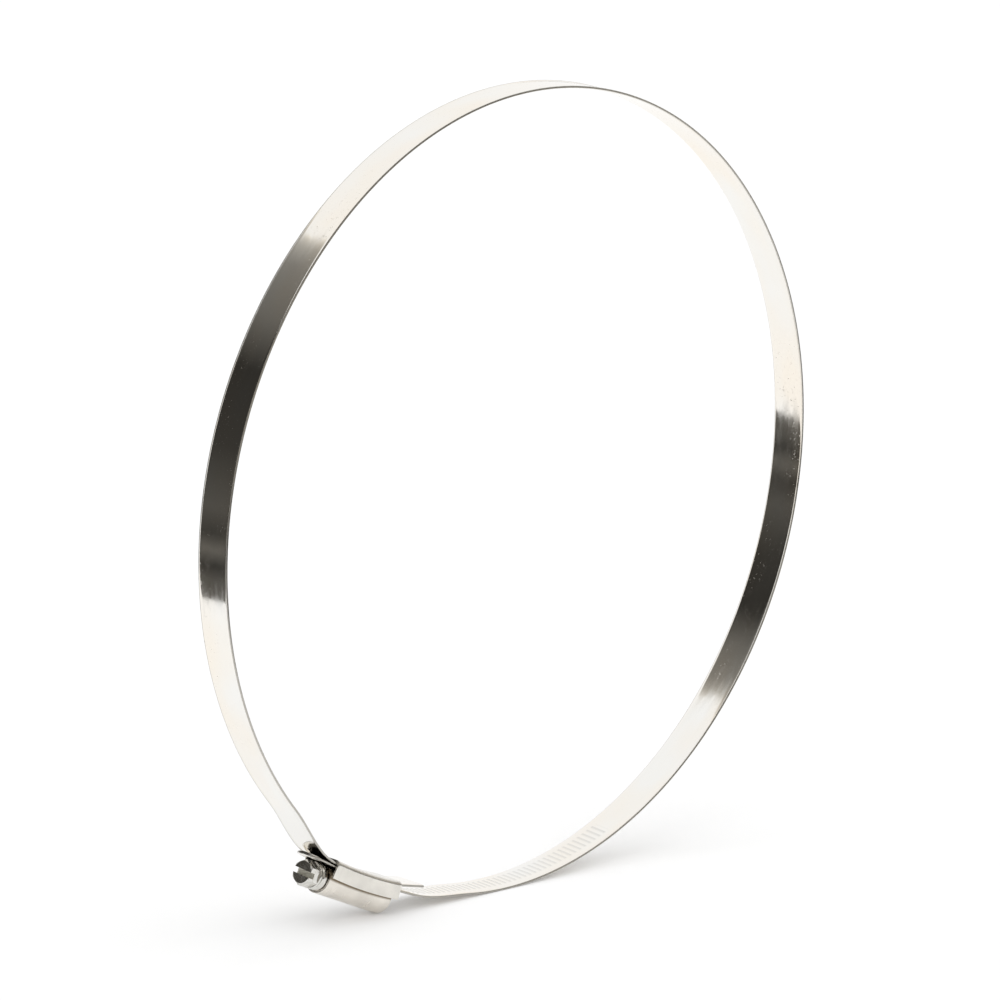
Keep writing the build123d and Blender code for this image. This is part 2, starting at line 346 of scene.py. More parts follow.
def satin_sheet(name, color, roughness, seam_shadow=False):
    """Pressed sheet with soft streaks across its length and a fine grain."""
    material, tree, shader, coordinates = steel(name, color, roughness)
    place = head_coordinates(tree, coordinates)
    streaks = noise(tree, place, (900, 60, 200), 3.0)
    grain = noise(tree, place, (2600, 2600, 2600))
    patches = noise(tree, place, (160, 160, 160))
    worn = tuple(min(1.0, part * 1.06) for part in color)
    dull = tuple(part * 0.9 for part in color)
    base = blend(tree, remap(tree, patches, 0.3, 0.7, 0, 1), dull, worn)
    # Painted shade along the crease above the saddle walls' rims.
    if seam_shadow:
        base = seam_shade(tree, place, base)
    tree.links.new(base, shader.inputs["Base Color"])
    tree.links.new(
        remap(tree, streaks, 0.25, 0.75, roughness - 0.06, roughness + 0.08),
        shader.inputs["Roughness"],
    )
    tree.links.new(
        bump(tree, (patches, streaks, grain), (0.00006, 0.000006, 0.000002)),
        shader.inputs["Normal"],
    )
    return material


def turned_steel():
    """Cold-headed and rolled screw steel with faint turning rings, and painted light that makes its
    slot's floor paler.
    """
    material, tree, shader, coordinates = steel("screw_steel", (0.74, 0.725, 0.69), 0.2)
    place = head_coordinates(tree, coordinates)
    rings = noise(tree, place, (3000, 30, 30))
    patches = noise(tree, place, (300, 300, 300), 3.0)
    station = add_node(tree, "ShaderNodeSeparateXYZ", {0: place}).outputs[0]
    off_floor = calc(tree, "SUBTRACT", station, (hex_front + SLOT_DEPTH) * MM)
    in_slot = remap(tree, calc(tree, "ABSOLUTE", off_floor), 0.05 * MM, 0.1 * MM, 1, 0)
    color = blend(tree, remap(tree, patches, 0.3, 0.7, 0, 1), SCREW_DULL, SCREW_BRIGHT)
    # Painted light on the slot's floor, which is also made rougher.
    color = blend(tree, in_slot, color, SLOT_FLOOR_PAINTED_LIGHT)
    rough = remap(tree, patches, 0.3, 0.7, 0.14, 0.3)
    tree.links.new(color, shader.inputs["Base Color"])
    tree.links.new(calc(tree, "MULTIPLY_ADD", in_slot, 0.6, rough), shader.inputs["Roughness"])
    tree.links.new(bump(tree, (patches, rings), (0.00004, 0.000004)), shader.inputs["Normal"])
    return material


band_steel = polished_strip()
saddle_steel = satin_sheet("saddle_steel", SADDLE_COLOR, 0.2)
housing_steel = satin_sheet("housing_steel", HOUSING_COLOR, 0.22, seam_shadow=True)
screw_steel = turned_steel()


# ---------------------------------------------------------------- mesh helpers
def spaced(start, stop, steps):
    """Evenly spaced values, with both ends."""
    return [start + (stop - start) * i / steps for i in range(steps + 1)]


def mesh_object(name, verts, faces, material):
    """A new object with its mesh."""
    mesh = bpy.data.meshes.new(name)
    mesh.from_pydata([tuple(v) for v in verts], [], faces)
    mesh.materials.append(material)
    piece = bpy.data.objects.new(name, mesh)
    bpy.context.scene.collection.objects.link(piece)
    return piece


def face_out(piece):
    """Turns every face of a closed mesh outwards."""
    shell = bmesh.new()
    shell.from_mesh(piece.data)
    bmesh.ops.remove_doubles(shell, verts=shell.verts, dist=SAME_POINT)
    bmesh.ops.recalc_face_normals(shell, faces=shell.faces)
    shell.to_mesh(piece.data)
    shell.free()


def apply_modifiers(piece):
    """Makes the evaluated mesh the piece's own and removes its modifiers."""
    graph = bpy.context.evaluated_depsgraph_get()
    finished = bpy.data.meshes.new_from_object(piece.evaluated_get(graph))
    finished.name = piece.name
    piece.modifiers.clear()
    piece.data = finished
    return piece


def soften(piece, width, angle=35.0):
    """Rounds the sharp edges by a width in millimetres and shades the rest smooth."""
    edge = piece.modifiers.new("rounding", "BEVEL")
    edge.width = width * MM
    edge.segments = 2
    edge.limit_method = "ANGLE"
    edge.angle_limit = math.radians(angle)
    apply_modifiers(piece)
    shade(piece, angle)
    return piece


def shade(piece, angle):
    """Shades a piece smooth but for its edges sharper than an angle in degrees."""
    piece.data.shade_smooth()
    piece.data.set_sharp_from_angle(angle=math.radians(angle))


def loft(name, rings, material, closed=False):
    """Joins equal rings of points by quads, and caps both ends unless it is closed."""
    count = len(rings[0])
    verts = [point for ring in rings for point in ring]
    faces = []
    spans = len(rings) if closed else len(rings) - 1
    for row in range(spans):
        a = row * count
        b = (row + 1) % len(rings) * count
        faces += [
            (a + i, a + (i + 1) % count, b + (i + 1) % count, b + i) for i in range(count)
        ]
    if not closed:
        faces.append(tuple(range(count)))
        faces.append(tuple(range(len(verts) - count, len(verts))))
    piece = mesh_object(name, verts, faces, material)
    face_out(piece)
    return piece


def arc(centre, radius, start, sweep, steps):
    """Points of an arc, angles in degrees."""
    return [
        (
            centre[0] + radius * math.cos(math.radians(start + sweep * i / steps)),
            centre[1] + radius * math.sin(math.radians(start + sweep * i / steps)),
        )
        for i in range(steps + 1)
    ]


# ---------------------------------------------------------------- the strip's path
# Each run is its length and a function from the distance along it to a point and a heading, as
# station and height.
def line_run(start, heading, length):
    """A straight run."""
    return length, lambda s: (start + heading * s, heading)


def arc_run(centre, radius, start, sweep):
    """An arc about a centre, anticlockwise, angles in degrees."""

    def place(s):
        turn = math.radians(start) + s / radius
        spoke = Vector((math.cos(turn), math.sin(turn)))
        return Vector(centre) + spoke * radius, Vector((-spoke.y, spoke.x))

    return radius * math.radians(sweep), place


def blend_run(start, start_heading, stop, stop_heading):
    """A smooth curve that joins two headings."""
    chord = (stop - start).length

    def at(u):
        point = (
            start * (2 * u**3 - 3 * u**2 + 1)
            + start_heading * chord * (u**3 - 2 * u**2 + u)
            + stop * (3 * u**2 - 2 * u**3)
            + stop_heading * chord * (u**3 - u**2)
        )
        heading = (
            start * (6 * u**2 - 6 * u)
            + start_heading * chord * (3 * u**2 - 4 * u + 1)
            + stop * (6 * u - 6 * u**2)
            + stop_heading * chord * (3 * u**2 - 2 * u)
        )
        return point, heading.normalized()

    return chord, lambda s: at(s / chord)


fixed_radius = SADDLE_FLOOR_RADIUS + fixed_mid - floor_face
fixed_lead = math.degrees(math.asin((saddle_end - SADDLE_CROWN) / fixed_radius))
fixed_turn = math.degrees(math.asin((SADDLE_CROWN - saddle_mouth) / fixed_radius))
mouth_lead = math.degrees(math.atan2(saddle_mouth, fixed_mid))
ring_start = mouth_lead - FIXED_BLEND_ANGLE
ring_stop = OUTER_ARC_ANGLE + THREADED_BLEND_ANGLE
ring_sweep = 360 + ring_start - ring_stop
tail_turn = math.degrees(math.asin((-saddle_mouth - STRAIGHT_UNDER_SCREW) / TAIL_BEND_RADIUS))


def strip_runs():
    """The strip from its tongue, round the ring, to the tip of its tail."""
    under_fixed = arc_run(
        (SADDLE_CROWN, fixed_mid - SADDLE_SINK - fixed_radius),
        fixed_radius,
        90 - fixed_lead,
        fixed_lead + fixed_turn,
    )
    first, first_heading = under_fixed[1](0)
    inward = Vector((first_heading.y, -first_heading.x)) * -1
    bend_centre = first + inward * TONGUE_BEND_RADIUS
    spoke = first - bend_centre
    spoke_angle = math.degrees(math.atan2(spoke.y, spoke.x))
    tongue_bend = arc_run(
        bend_centre, TONGUE_BEND_RADIUS, spoke_angle - TONGUE_BEND_ANGLE, TONGUE_BEND_ANGLE
    )
    root, root_heading = tongue_bend[1](0)
    tongue = line_run(root - root_heading * TONGUE_LENGTH, root_heading, TONGUE_LENGTH)
    ring = arc_run((0, 0), ring_mid, 90 - ring_start, ring_sweep)
    outer = arc_run((0, 0), threaded_mid, 90 - OUTER_ARC_ANGLE, OUTER_ARC_ANGLE)
    fixed_blend = blend_run(*under_fixed[1](under_fixed[0]), *ring[1](0))
    threaded_blend = blend_run(*ring[1](ring[0]), *outer[1](0))
    straight = line_run(Vector((0, threaded_mid)), Vector((-1, 0)), STRAIGHT_UNDER_SCREW)
    tail_bend = arc_run(
        (-STRAIGHT_UNDER_SCREW, threaded_mid - TAIL_BEND_RADIUS), TAIL_BEND_RADIUS, 90, tail_turn
    )
    tail = line_run(*tail_bend[1](tail_bend[0]), TAIL_LENGTH)
    before_foot = [tongue, tongue_bend, under_fixed, fixed_blend, ring, threaded_blend, outer]
    past_foot = [straight, tail_bend, tail]
    return before_foot + past_foot, sum(run[0] for run in before_foot)


def strip_path():
    """Points of the path with what each needs: where it faces, its travel from the foot and
    how far the strip narrows there."""
    runs, foot = strip_runs()
    total = sum(run[0] for run in runs)
    grooved_from = foot - (GROOVES_PAST_FOOT + 1) * THREAD_PITCH
    coarse, fine = THREAD_PITCH, THREAD_PITCH / STRIP_SMOOTHING
    stations = [0.0]
    while stations[-1] < total - coarse:
        stations.append(stations[-1] + (coarse if stations[-1] < grooved_from else fine))
    stations += [
        total - TAIL_TIP_RADIUS * (1 - math.cos(math.radians(angle)))
        for angle in range(30, -1, -5)
    ]
    stations = sorted(s for s in stations if s <= total)
    places, facings, travels, widths = [], [], [], []
    for s in stations:
        left = s
        for length, place in runs:
            if left <= length or (length, place) == runs[-1]:
                break
            left -= length
        point, heading = place(left)
        places.append(along * point.x + outward * point.y)
        facings.append(along * heading.y - outward * heading.x)
        travels.append(s - foot)
        reach = max(0.0, TAIL_TIP_RADIUS - (total - s))
        corner = saddle_inside - TAIL_TIP_RADIUS + math.sqrt(TAIL_TIP_RADIUS**2 - reach**2)
        widths.append(min(1.0, corner / half_band))
    return places, facings, travels, widths


def strip_section():
    """The strip's section as a loop of side and height: flat, with both edges curled out."""

    def side(sign):
        outer = [(x, half_thick) for x in spaced(0, flat_half_width, FLAT_STEPS)[:-1]]
        centre = (flat_half_width, EDGE_ROLL_RADIUS)
        outer += arc(
            centre, EDGE_ROLL_RADIUS - half_thick, -90, EDGE_ROLL_ANGLE, EDGE_ROLL_STEPS
        )
        inner = arc(
            centre, EDGE_ROLL_RADIUS + half_thick, -90, EDGE_ROLL_ANGLE, EDGE_ROLL_STEPS
        )
        inner = inner[::-1] + [(x, -half_thick) for x in spaced(flat_half_width, 0, FLAT_STEPS)[1:]]
        a, b = Vector(outer[-1]), Vector(inner[0])
        lip = [tuple(a.lerp(b, t) + (b - a).orthogonal() * bulge) for t, bulge in LIP]
        return [(x * sign, y) for x, y in outer + lip + inner]

    right = side(1)
    left = side(-1)[::-1]
    return right + left[1:-1]


def rim_share(side, height):
    """How much of the strip's rim, sheared dull and painted darker as shade, shows at a point of
    its section: none or all.
    """
    curl = math.atan2(abs(side) - flat_half_width, EDGE_ROLL_RADIUS - height)
    from_middle = math.hypot(abs(side) - flat_half_width, EDGE_ROLL_RADIUS - height)
    on_inner_face = from_middle > EDGE_ROLL_RADIUS + half_thick - FACE_TOLERANCE
    return 1.0 if curl > edge_roll * (RIM_ON_FACE if on_inner_face else RIM_ON_BACK) else 0.0


def strip_tree():
    """A Geometry Nodes tree that runs a section along a path and presses a worm thread in it."""
    tree = bpy.data.node_groups.new("pressed_strip", "GeometryNodeTree")
    sockets = tree.interface
    sockets.new_socket("Path", in_out="INPUT", socket_type="NodeSocketGeometry")
    sockets.new_socket("Section", in_out="INPUT", socket_type="NodeSocketObject")
    sockets.new_socket("Steel", in_out="INPUT", socket_type="NodeSocketMaterial")
    for name in ("Pitch", "Groove Length", "Groove Width", "Groove Slant", "First", "Last"):
        sockets.new_socket(name, in_out="INPUT", socket_type="NodeSocketFloat")
    sockets.new_socket("Strip", in_out="OUTPUT", socket_type="NodeSocketGeometry")
    given = tree.nodes.new("NodeGroupInput").outputs
    path = add_node(tree, "GeometryNodeMeshToCurve", {"Mesh": given["Path"]}).outputs[0]
    section = add_node(tree, "GeometryNodeObjectInfo", {"Object": given["Section"]})
    profile = add_node(
        tree, "GeometryNodeMeshToCurve", {"Mesh": section.outputs["Geometry"]}
    ).outputs[0]
    strip = add_node(
        tree,
        "GeometryNodeCurveToMesh",
        {"Curve": path, "Profile Curve": profile, "Fill Caps": True},
    ).outputs[0]

    def attribute(name, kind="FLOAT"):
        return add_node(
            tree, "GeometryNodeInputNamedAttribute", {"Name": name}, data_type=kind
        ).outputs["Attribute"]

    def fade(value, none_at, full_at):
        """A soft step from nothing at one value to all at the other."""
        return add_node(
            tree,
            "ShaderNodeMapRange",
            {0: value, 1: none_at, 2: full_at, 3: 0.0, 4: 1.0},
            interpolation_type="SMOOTHSTEP",
        ).outputs[0]

    side = attribute("side")
    travel = attribute("travel")
    slanted = calc(tree, "MULTIPLY_ADD", side, given["Groove Slant"], travel)
    turns = calc(tree, "DIVIDE", slanted, given["Pitch"])
    off_middle = calc(tree, "ABSOLUTE", calc(tree, "SUBTRACT", calc(tree, "FRACT", turns), 0.5))
    gap = calc(tree, "MULTIPLY", off_middle, given["Pitch"])
    half_width = calc(tree, "MULTIPLY", given["Groove Width"], 0.5)
    trench = fade(gap, half_width, calc(tree, "MULTIPLY", half_width, 0.2))
    half_length = calc(tree, "MULTIPLY", given["Groove Length"], 0.5)
    reach = fade(
        calc(tree, "ABSOLUTE", side), half_length, calc(tree, "MULTIPLY", half_length, 0.8)
    )
    started = fade(turns, calc(tree, "ADD", given["First"], -0.5), given["First"])
    ended = fade(turns, calc(tree, "ADD", given["Last"], 0.5), given["Last"])
    pressed = calc(
        tree,
        "MULTIPLY",
        calc(tree, "MULTIPLY", trench, reach),
        calc(tree, "MULTIPLY", started, ended),
    )
    sunk = calc(tree, "MULTIPLY", pressed, attribute("press"))
    lift = calc(tree, "SUBTRACT", attribute("height"), sunk)
    raised = add_node(
        tree, "ShaderNodeVectorMath", {0: attribute("facing", "FLOAT_VECTOR")}, operation="SCALE"
    )
    tree.links.new(lift, raised.inputs["Scale"])
    spread = add_node(
        tree,
        "ShaderNodeCombineXYZ",
        {"Y": calc(tree, "MULTIPLY", side, attribute("narrowing"))},
    ).outputs[0]
    place = vector_calc(
        tree,
        "ADD",
        vector_calc(tree, "ADD", attribute("place", "FLOAT_VECTOR"), raised.outputs[0]),
        spread,
    )
    # The grooves' share, which the strip's material paints darker as shade.
    dented = add_node(
        tree,
        "GeometryNodeStoreNamedAttribute",
        {"Geometry": strip, "Name": "dent", "Value": pressed},
        data_type="FLOAT",
    ).outputs[0]
    moved = add_node(tree, "GeometryNodeSetPosition", {"Geometry": dented, "Position": place})
    smooth = add_node(tree, "GeometryNodeSetShadeSmooth", {"Geometry": moved.outputs[0]})
    real = add_node(tree, "GeometryNodeRealizeInstances", {0: smooth.outputs[0]})
    coated = add_node(
        tree, "GeometryNodeSetMaterial", {"Geometry": real.outputs[0], "Material": given["Steel"]}
    )
    add_node(tree, "NodeGroupOutput", {0: coated.outputs[0]})
    return tree


def attribute_layer(mesh, name, values, kind="FLOAT"):
    """A named value on every point of a mesh."""
    layer = mesh.attributes.new(name, kind, "POINT")
    field = "vector" if kind == "FLOAT_VECTOR" else "value"
    for item, value in zip(layer.data, values):
        setattr(item, field, value)


def wire_object(name, points, closed):
    """A line of edges for Geometry Nodes to follow."""
    count = len(points)
    edges = [(i, (i + 1) % count) for i in range(count if closed else count - 1)]
    mesh = bpy.data.meshes.new(name)
    mesh.from_pydata([tuple(p) for p in points], edges, [])
    piece = bpy.data.objects.new(name, mesh)
    bpy.context.scene.collection.objects.link(piece)
    return piece


def run_tree(piece, tree, **values):
    """Runs a tree on a piece and keeps its result as a plain mesh."""
    worker = piece.modifiers.new(tree.name, "NODES")
    worker.node_group = tree
    for item in tree.interface.items_tree:
        if item.in_out == "INPUT" and item.name in values:
            worker[item.identifier] = values[item.name]
    return apply_modifiers(piece)


def make_band():
    """The strip, with its worm thread pressed in."""
    places, facings, travels, widths = strip_path()
    band = wire_object("clamp_band", [p * MM for p in places], closed=False)
    attribute_layer(band.data, "place", [p * MM for p in places], "FLOAT_VECTOR")
    attribute_layer(band.data, "facing", facings, "FLOAT_VECTOR")
    attribute_layer(band.data, "travel", [t * MM for t in travels])
    attribute_layer(band.data, "narrowing", widths)
    outline = strip_section()
    section = wire_object("strip_section", [(x * MM, y * MM, 0) for x, y in outline], closed=True)
    attribute_layer(section.data, "side", [x * MM for x, y in outline])
    attribute_layer(section.data, "height", [y * MM for x, y in outline])
    attribute_layer(section.data, "rim", [rim_share(x, y) for x, y in outline])
    attribute_layer(
        section.data,
        "press",
        [GROOVE_DEPTH * MM * (1 if y > 0 else INNER_PRESS) for x, y in outline],
    )
    run_tree(
        band,
        strip_tree(),
        Section=section,
        Steel=band_steel,
        Pitch=THREAD_PITCH * MM,
        **{
            "Groove Length": GROOVE_LENGTH * MM,
            "Groove Width": GROOVE_WIDTH * MM,
            "Groove Slant": THREAD_PITCH / (2 * math.pi * CREST_RADIUS),
            "First": float(-GROOVES_PAST_FOOT),
            "Last": float(GROOVES_BEFORE_FOOT),
        },
    )
    bpy.data.objects.remove(section)
    face_out(band)
    return band


# ---------------------------------------------------------------- saddle
def make_saddle():
    """The channel that wraps both layers of the strip, curved along its length."""
    wall = saddle_outside - SADDLE_CORNER_RADIUS
    inner_radius = SADDLE_CORNER_RADIUS - SADDLE_SHEET
    inner_wall = saddle_inside - inner_radius
    half = (
        [(0, 0)]
        + arc((wall, SADDLE_CORNER_RADIUS), SADDLE_CORNER_RADIUS, -90, 90, SADDLE_BEND_STEPS)
        + [(saddle_outside, SADDLE_WALL), (saddle_inside, SADDLE_WALL)]
        + arc(
            (inner_wall, SADDLE_SHEET + inner_radius), inner_radius, 0, -90, SADDLE_BEND_STEPS
        )
        + [(0, SADDLE_SHEET)]
    )
    loop = half + [(-x, y) for x, y in half[-2:0:-1]]
    first = math.asin((SADDLE_CROWN - saddle_end) / SADDLE_FLOOR_RADIUS)
    last = math.asin((SADDLE_CROWN - saddle_mouth) / SADDLE_FLOOR_RADIUS)
    rings = []
    for turn in spaced(first, last, SADDLE_ROWS):
        ring = []
        for side, rise in loop:
            reach = SADDLE_FLOOR_RADIUS + rise
            ring.append(
                head_point(
                    SADDLE_CROWN - reach * math.sin(turn),
                    crown_face - SADDLE_FLOOR_RADIUS + reach * math.cos(turn),
                    side,
                )
            )
        rings.append(ring)
    return soften(loft("saddle_channel", rings, saddle_steel), SADDLE_ROUNDING)


# ---------------------------------------------------------------- screw housing
shoulder_half = saddle_inside - SHOULDER_CLEARANCE
shoulder_bottom = shoulder_top - HOUSING_SHEET
throat_bottom = threaded_mid + half_thick + THROAT_HEIGHT


def make_tunnel():
    """The pressed tunnel over the worm, with its shoulders between the saddle's walls."""
    bend = HOUSING_BEND_RADIUS
    half = (
        arc((0, screw_height), tunnel_outer, 90, -90, TUNNEL_ARC_STEPS)
        + arc((tunnel_outer + bend, shoulder_top + bend), bend, 180, 90, TUNNEL_BEND_STEPS)
        + [(shoulder_half, shoulder_top), (shoulder_half, shoulder_bottom)]
        + [(tunnel_inner, shoulder_bottom)]
        + arc((0, screw_height), tunnel_inner, 0, 90, TUNNEL_ARC_STEPS)
    )
    loop = half + [(-x, y) for x, y in half[-2:0:-1]]
    rings = [
        [head_point(station, y, x) for x, y in loop]
        for station in spaced(housing_front, housing_end, TUNNEL_ROWS)
    ]
    return soften(loft("screw_tunnel", rings, housing_steel), TUNNEL_ROUNDING)


def make_throat_plate():
    """The wall across the tunnel's front that the screw's neck passes through."""
    hole = NECK_RADIUS + NECK_CLEARANCE
    edge = tunnel_outer - HOUSING_SHEET / 2
    drop = screw_height - throat_bottom
    front, back = housing_front + THROAT_RECESS, housing_front + THROAT_THICKNESS
    rings = []
    for station, inner in ((front, False), (front, True), (back, True), (back, False)):
        ring = []
        for i in range(THROAT_STEPS):
            turn = 2 * math.pi * i / THROAT_STEPS
            spoke = Vector((math.cos(turn), math.sin(turn)))
            reach = hole if inner else edge
            if not inner and spoke.y < 0:
                reach = min(edge / max(abs(spoke.x), 1e-6), drop / -spoke.y)
            ring.append(head_point(station, screw_height + spoke.y * reach, spoke.x * reach))
        rings.append(ring)
    return soften(loft("throat_plate", rings, housing_steel, closed=True), THROAT_ROUNDING)


# ---------------------------------------------------------------- worm screw
SCREW_SMOOTH_ANGLE = 40.0
neck_end = housing_front + THROAT_THICKNESS + COLLAR_GAP
hex_corner = HEX_ACROSS_FLATS / math.sqrt(3)


def ring_about_screw(station, radius, steps, start=0.0):
    """Points round the screw's axis, from an angle in radians."""
    turns = [start + 2 * math.pi * i / steps for i in range(steps)]
    return [
        head_point(station, screw_height + radius * math.sin(turn), radius * math.cos(turn))
        for turn in turns
    ]


def turned(name, profile):
    """A body of revolution about the screw's axis from stations and radii, closed at its ends."""
    rings = [ring_about_screw(station, radius, TURNED_STEPS) for station, radius in profile]
    return loft(name, rings, screw_steel)


def boolean(piece, other, operation):
    """Cuts or joins one closed mesh with another, which is used up."""
    cut = piece.modifiers.new(operation.lower(), "BOOLEAN")
    cut.object = other
    cut.operation = operation
    cut.solver = "EXACT"
    apply_modifiers(piece)
    bpy.data.objects.remove(other)
    return piece


def make_screw_head():
    """The hexagon, chamfered round its face and slotted across it."""
    sunk_in_collar = 0.3
    rings = [
        ring_about_screw(station, hex_corner, 6, math.pi / 6)
        for station in (hex_front, collar_front + sunk_in_collar)
    ]
    head = loft("screw_hexagon", rings, screw_steel)
    slope = math.tan(math.radians(HEX_CHAMFER_ANGLE))
    wide = 3 * hex_corner  # well clear of the hexagon
    cone = turned(
        "chamfer_cone",
        (
            (hex_front - 0.01, HEX_FACE_RADIUS),
            (hex_front + (wide - HEX_FACE_RADIUS) * slope, wide),
            (collar_front + 2 * HEX_HEIGHT, wide),
        ),
    )
    boolean(head, cone, "INTERSECT")
    turn = math.radians(SLOT_TURN)
    half_slot, half_span = SLOT_WIDTH / 2, 2 * hex_corner
    rings = []
    for station in (hex_front - 1, hex_front + SLOT_DEPTH):
        ring = []
        for a, b in ((-1, -1), (1, -1), (1, 1), (-1, 1)):
            u, v = a * half_span, b * half_slot
            ring.append(
                head_point(
                    station,
                    screw_height + u * math.sin(turn) + v * math.cos(turn),
                    -(u * math.cos(turn) - v * math.sin(turn)),
                )
            )
        rings.append(ring)
    boolean(head, loft("slot_cutter", rings, screw_steel), "DIFFERENCE")
    return soften(head, HEXAGON_ROUNDING, angle=20.0)


def thread_tree():
    """A Geometry Nodes tree that winds a worm's ridge round the Z axis."""
    tree = bpy.data.node_groups.new("worm_ridge", "GeometryNodeTree")
    sockets = tree.interface
    sockets.new_socket("Section", in_out="INPUT", socket_type="NodeSocketObject")
    sockets.new_socket("Steel", in_out="INPUT", socket_type="NodeSocketMaterial")
    for name in ("Radius", "Length", "Turns"):
        sockets.new_socket(name, in_out="INPUT", socket_type="NodeSocketFloat")
    sockets.new_socket("Ridge", in_out="OUTPUT", socket_type="NodeSocketGeometry")
    given = tree.nodes.new("NodeGroupInput").outputs
    helix = add_node(
        tree,
        "GeometryNodeCurveSpiral",
        {
            "Resolution": HELIX_STEPS,
            "Rotations": given["Turns"],
            "Start Radius": given["Radius"],
            "End Radius": given["Radius"],
            "Height": given["Length"],
        },
    ).outputs[0]
    upright = add_node(
        tree, "GeometryNodeSetCurveNormal", {"Curve": helix}, mode="Z_UP"
    ).outputs[0]
    section = add_node(tree, "GeometryNodeObjectInfo", {"Object": given["Section"]})
    profile = add_node(
        tree, "GeometryNodeMeshToCurve", {"Mesh": section.outputs["Geometry"]}
    ).outputs[0]
    ridge = add_node(
        tree,
        "GeometryNodeCurveToMesh",
        {"Curve": upright, "Profile Curve": profile, "Fill Caps": True},
    ).outputs[0]
    real = add_node(tree, "GeometryNodeRealizeInstances", {0: ridge})
    coated = add_node(
        tree, "GeometryNodeSetMaterial", {"Geometry": real.outputs[0], "Material": given["Steel"]}
    )
    add_node(tree, "NodeGroupOutput", {0: coated.outputs[0]})
    return tree


def make_screw():
    """The collar, neck and root of the worm in one turned body, and the ridge of its thread."""
    flange_end = collar_front + FLANGE_LENGTH
    groove_end = flange_end + COLLAR_GROOVE_LENGTH
    groove_radius = COLLAR_RADIUS - COLLAR_GROOVE_DEPTH
    body_radius = COLLAR_RADIUS - 0.02
    profile = (
        (collar_front, 0.0),
        (collar_front, COLLAR_RADIUS - 0.3),
        (collar_front + 0.08, COLLAR_RADIUS - 0.08),
        (collar_front + 0.25, COLLAR_RADIUS),
        (flange_end - 0.1, COLLAR_RADIUS),
        (flange_end, COLLAR_RADIUS - 0.1),
        (flange_end + 0.05, groove_radius),
        (groove_end - 0.05, groove_radius),
        (groove_end, body_radius - 0.1),
        (groove_end + 0.12, body_radius),
        (collar_back - 0.2, body_radius),
        (collar_back, body_radius - 0.2),
        (collar_back, NECK_RADIUS),
        (neck_end, NECK_RADIUS),
        (neck_end, ROOT_RADIUS - 0.15),
        (neck_end + 0.15, ROOT_RADIUS),
        (screw_tip - SCREW_TIP_LENGTH, ROOT_RADIUS),
        (screw_tip - 0.1, ROOT_RADIUS - SCREW_TIP_DROP + 0.2),
        (screw_tip, ROOT_RADIUS - SCREW_TIP_DROP),
        (screw_tip, 0.0),
    )
    shank = turned("screw_shank", profile)
    shade(shank, SCREW_SMOOTH_ANGLE)

    first_turn = math.ceil((neck_end + THREAD_ROOT_WIDTH / 2) / THREAD_PITCH + 0.25)
    thread_start = (first_turn - 0.25) * THREAD_PITCH
    thread_length = screw_tip - SCREW_TIP_LENGTH - THREAD_ROOT_WIDTH / 2 - thread_start
    rise = CREST_RADIUS - ROOT_RADIUS
    crest, foot = THREAD_CREST_WIDTH / 2, THREAD_ROOT_WIDTH / 2
    sunk_in_root, shoulder, flank, rounding = 0.25, rise * 0.8, crest + 0.08, 0.1
    outline = [(-sunk_in_root, -foot), (shoulder, -flank), (rise, -crest + rounding)]
    outline += [(rise, crest - rounding), (shoulder, flank), (-sunk_in_root, foot)]
    section = wire_object("ridge_section", [(x * MM, y * MM, 0) for x, y in outline], closed=True)
    ridge = mesh_object("screw_thread", [], [], screw_steel)
    run_tree(
        ridge,
        thread_tree(),
        Section=section,
        Steel=screw_steel,
        Radius=ROOT_RADIUS * MM,
        Length=thread_length * MM,
        Turns=thread_length / THREAD_PITCH,
    )
    bpy.data.objects.remove(section)
    base = Matrix((-across, outward, along)).transposed().to_4x4()
    base.translation = head_point(thread_start, screw_height)
    ridge.data.transform(base)
    face_out(ridge)
    shade(ridge, SCREW_SMOOTH_ANGLE)
    return shank, ridge


# ---------------------------------------------------------------- pieces on their bodies
band = make_band()
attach(band, "clamp")
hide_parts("band")

saddle = make_saddle()
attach(saddle, "clamp")
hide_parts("saddle")

tunnel = make_tunnel()
plate = make_throat_plate()
for piece in (tunnel, plate):
    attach(piece, "clamp")
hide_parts("screw_housing")

hexagon = make_screw_head()
shank, ridge = make_screw()
for piece in (hexagon, shank, ridge):
    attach(piece, "screw")
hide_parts("worm_screw")

# ---------------------------------------------------------------- floor, light and camera
# Metres from here on.
FLOOR_LEVEL = -ring_outer * MM
FLOOR_REACH = 6.0
FLOOR_GLOW = 0.1
SKY_LIGHT = 0.7  # how bright the studio is for all but the view and reflections
KEY_ANGLE = 85.0
KEY_ENERGY = 1.15
TOWARD_KEY = (-0.05, -0.35, 1)
CARD_COLUMNS = 12
SIDE_CARD_ROWS = 10
CAMERA_AZIMUTH = -46.2924
CAMERA_ELEVATION = 12.9836
CAMERA_ROLL = 3.1657
CAMERA_DISTANCE = 1.99434
CAMERA_LENS = 240.24
CAMERA_SHIFT = (-0.01328, -0.00978)


def white_for_view(tree, strength):
    """An emission seen only by the camera and in reflections."""
    rays = add_node(tree, "ShaderNodeLightPath")
    seen = calc(tree, "MAXIMUM", rays.outputs["Is Camera Ray"], rays.outputs["Is Glossy Ray"])
    seen = calc(tree, "MAXIMUM", seen, rays.outputs["Is Transmission Ray"])
    return calc(tree, "MULTIPLY", seen, strength)


def matt(name, color):
    """A material that mirrors nothing, its node tree and its shader."""
    material = bpy.data.materials.new(name)
    material.use_nodes = True
    tree = material.node_tree
    shader = tree.nodes["Principled BSDF"]
    shader.inputs["Base Color"].default_value = (*color, 1)
    shader.inputs["Roughness"].default_value = 1.0
    shader.inputs["Specular IOR Level"].default_value = 0.0
    return material, tree, shader


